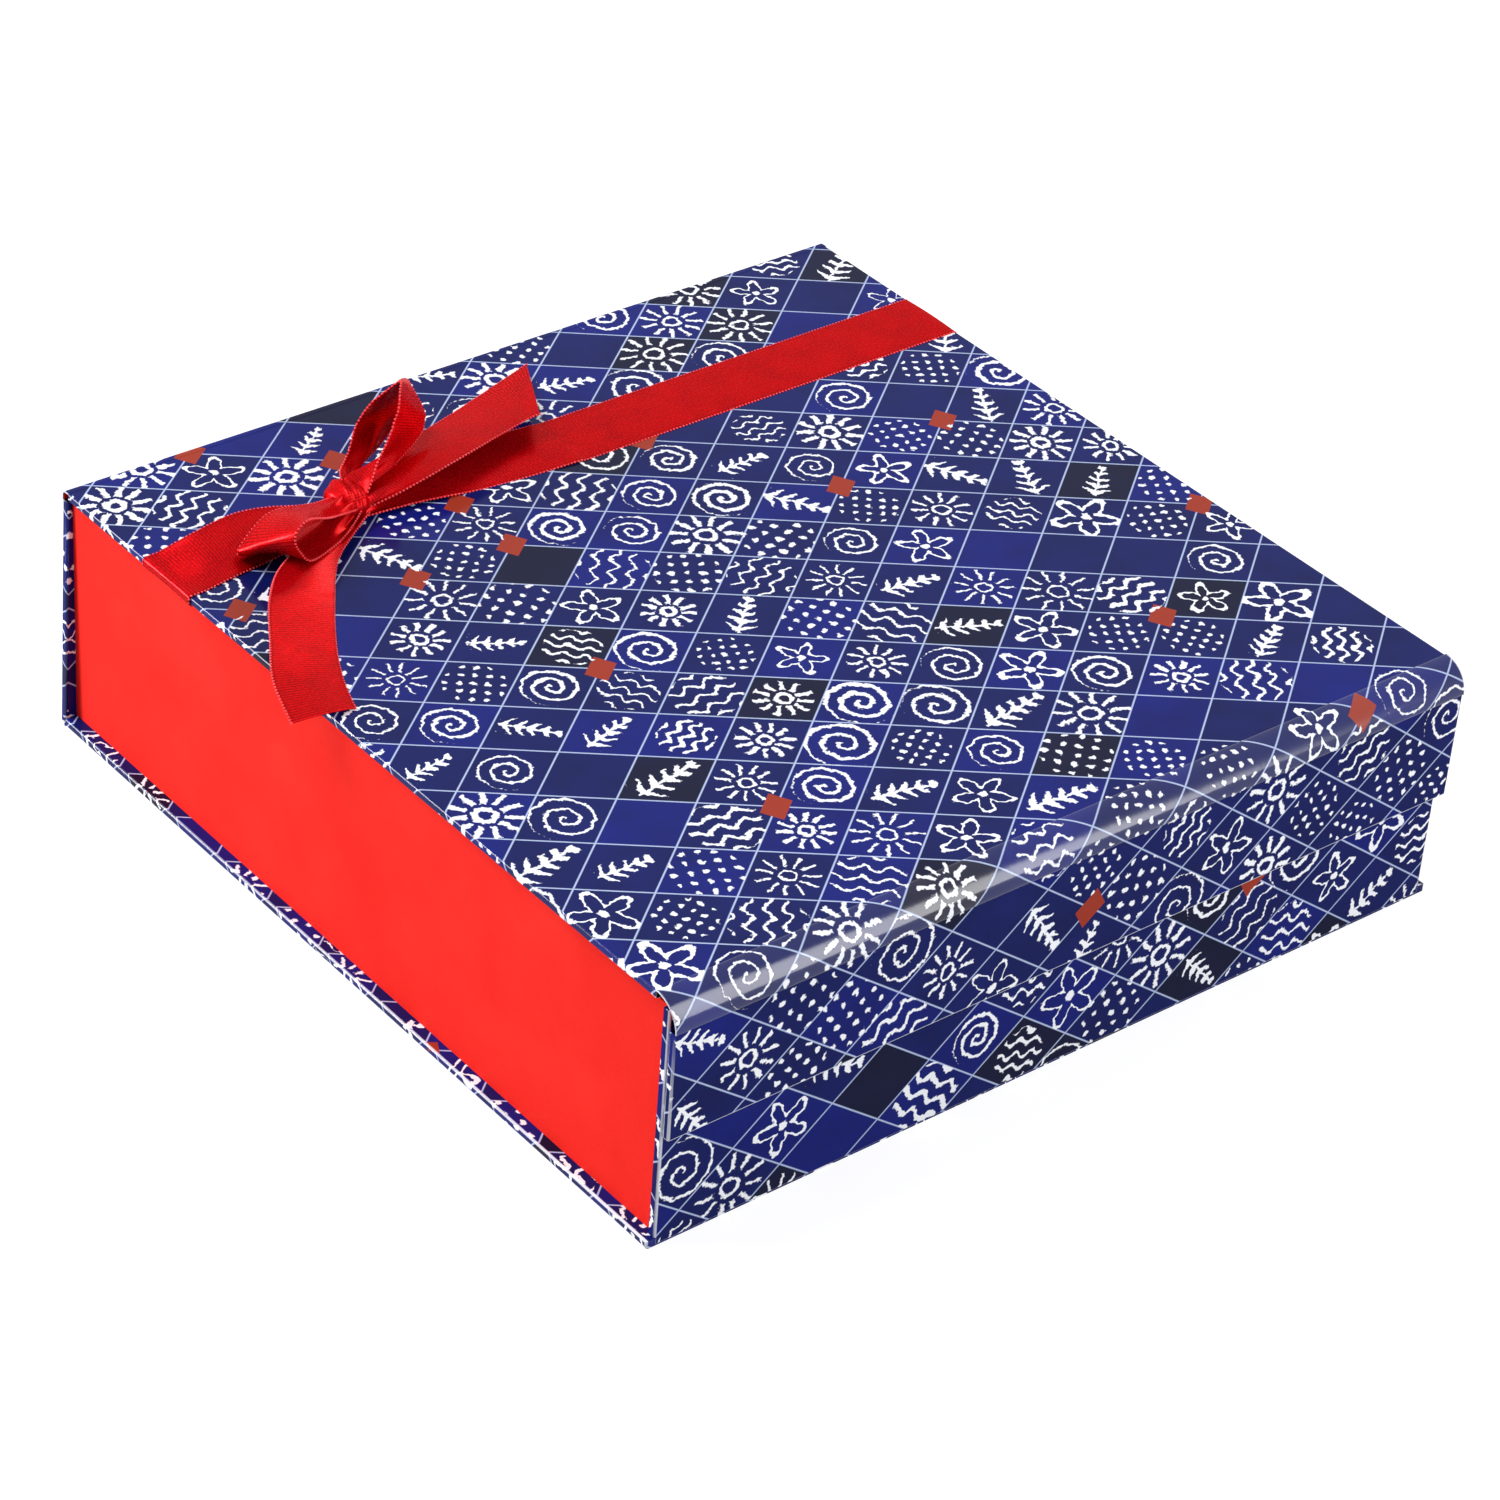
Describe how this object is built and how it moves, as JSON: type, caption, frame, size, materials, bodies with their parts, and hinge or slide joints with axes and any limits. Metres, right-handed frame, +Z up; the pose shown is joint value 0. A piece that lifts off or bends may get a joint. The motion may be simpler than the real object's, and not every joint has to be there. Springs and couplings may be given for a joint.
{
  "type": "chocolate box",
  "caption": "Square two-layer chocolate box with a hinged lid, a magnetic front flap and a tied satin ribbon; printed navy outside, red inside.",
  "frame": {"origin": "centre of the closed case's underside", "axes": "+X along the front flap to the right, +Y from the flap to the hinge at the back, +Z up"},
  "size_m": [0.2757, 0.269, 0.1007],
  "materials": {
    "greyboard": "matte pressed board",
    "printed_sheet": "navy print under gloss film",
    "red_paper": "dyed matte paper",
    "satin": "red satin ribbon with a picot edge",
    "magnet": "plated magnet",
    "steel": "bare sheet steel",
    "moulded_tray": "brown thermoformed sheet",
    "cushion_pad": "brown embossed paper pad",
    "dark_chocolate": "satin chocolate",
    "milk_chocolate": "satin chocolate",
    "white_chocolate": "satin chocolate"
  },
  "bodies": {
    "case": {"base_board": "greyboard", "front_board": "greyboard", "spine_board": "greyboard", "tray_bottom": "greyboard", "tray_left_wall": "greyboard", "tray_right_wall": "greyboard", "tray_front_wall": "greyboard", "tray_back_wall": "greyboard", "base_cover_sheet": "printed_sheet", "front_cover_sheet": "printed_sheet", "spine_cover_sheet": "printed_sheet", "lid_hinge_sheet": "printed_sheet", "lid_hinge_lining": "red_paper", "tray_left_paper": "red_paper", "tray_right_paper": "red_paper", "tray_front_paper": "red_paper", "tray_back_paper": "red_paper", "tray_floor_paper": "red_paper", "front_steel_discs": "steel", "lower_insert": "moulded_tray", "upper_insert": "moulded_tray", "layer_pad": "cushion_pad", "square_pralines": "dark_chocolate", "dome_truffles": "milk_chocolate", "oval_pralines": "white_chocolate", "finger_pralines": "milk_chocolate", "fluted_pralines": "dark_chocolate", "hexagon_pralines": "milk_chocolate"},
    "lid": {"lid_board": "greyboard", "lid_cover_sheet": "printed_sheet", "lid_lining": "red_paper", "ribbon_wrap": "satin", "ribbon_knot": "satin", "ribbon_right_run": "satin", "ribbon_left_run": "satin", "ribbon_left_loop": "satin", "ribbon_back_loop": "satin", "ribbon_front_tail": "satin", "ribbon_right_tail": "satin", "flap_bend_sheet": "printed_sheet", "flap_bend_lining": "red_paper"},
    "flap": {"flap_board": "greyboard", "flap_cover_sheet": "printed_sheet", "flap_lining": "red_paper", "flap_magnets": "magnet"}
  },
  "joints": [
    {"name": "lid_hinge", "type": "hinge", "parent": "case", "child": "lid", "pos_m": [0, 0.13418, 0.07418], "axis": [-1, 0, 0], "range_deg": [0, 180], "deforming": ["lid_hinge_sheet", "lid_hinge_lining"]},
    {"name": "flap_hinge", "type": "hinge", "parent": "lid", "child": "flap", "pos_m": [0, -0.13278, 0.07278], "axis": [-1, 0, 0], "range_deg": [0, 100], "deforming": ["flap_bend_sheet", "flap_bend_lining"]}
  ]
}
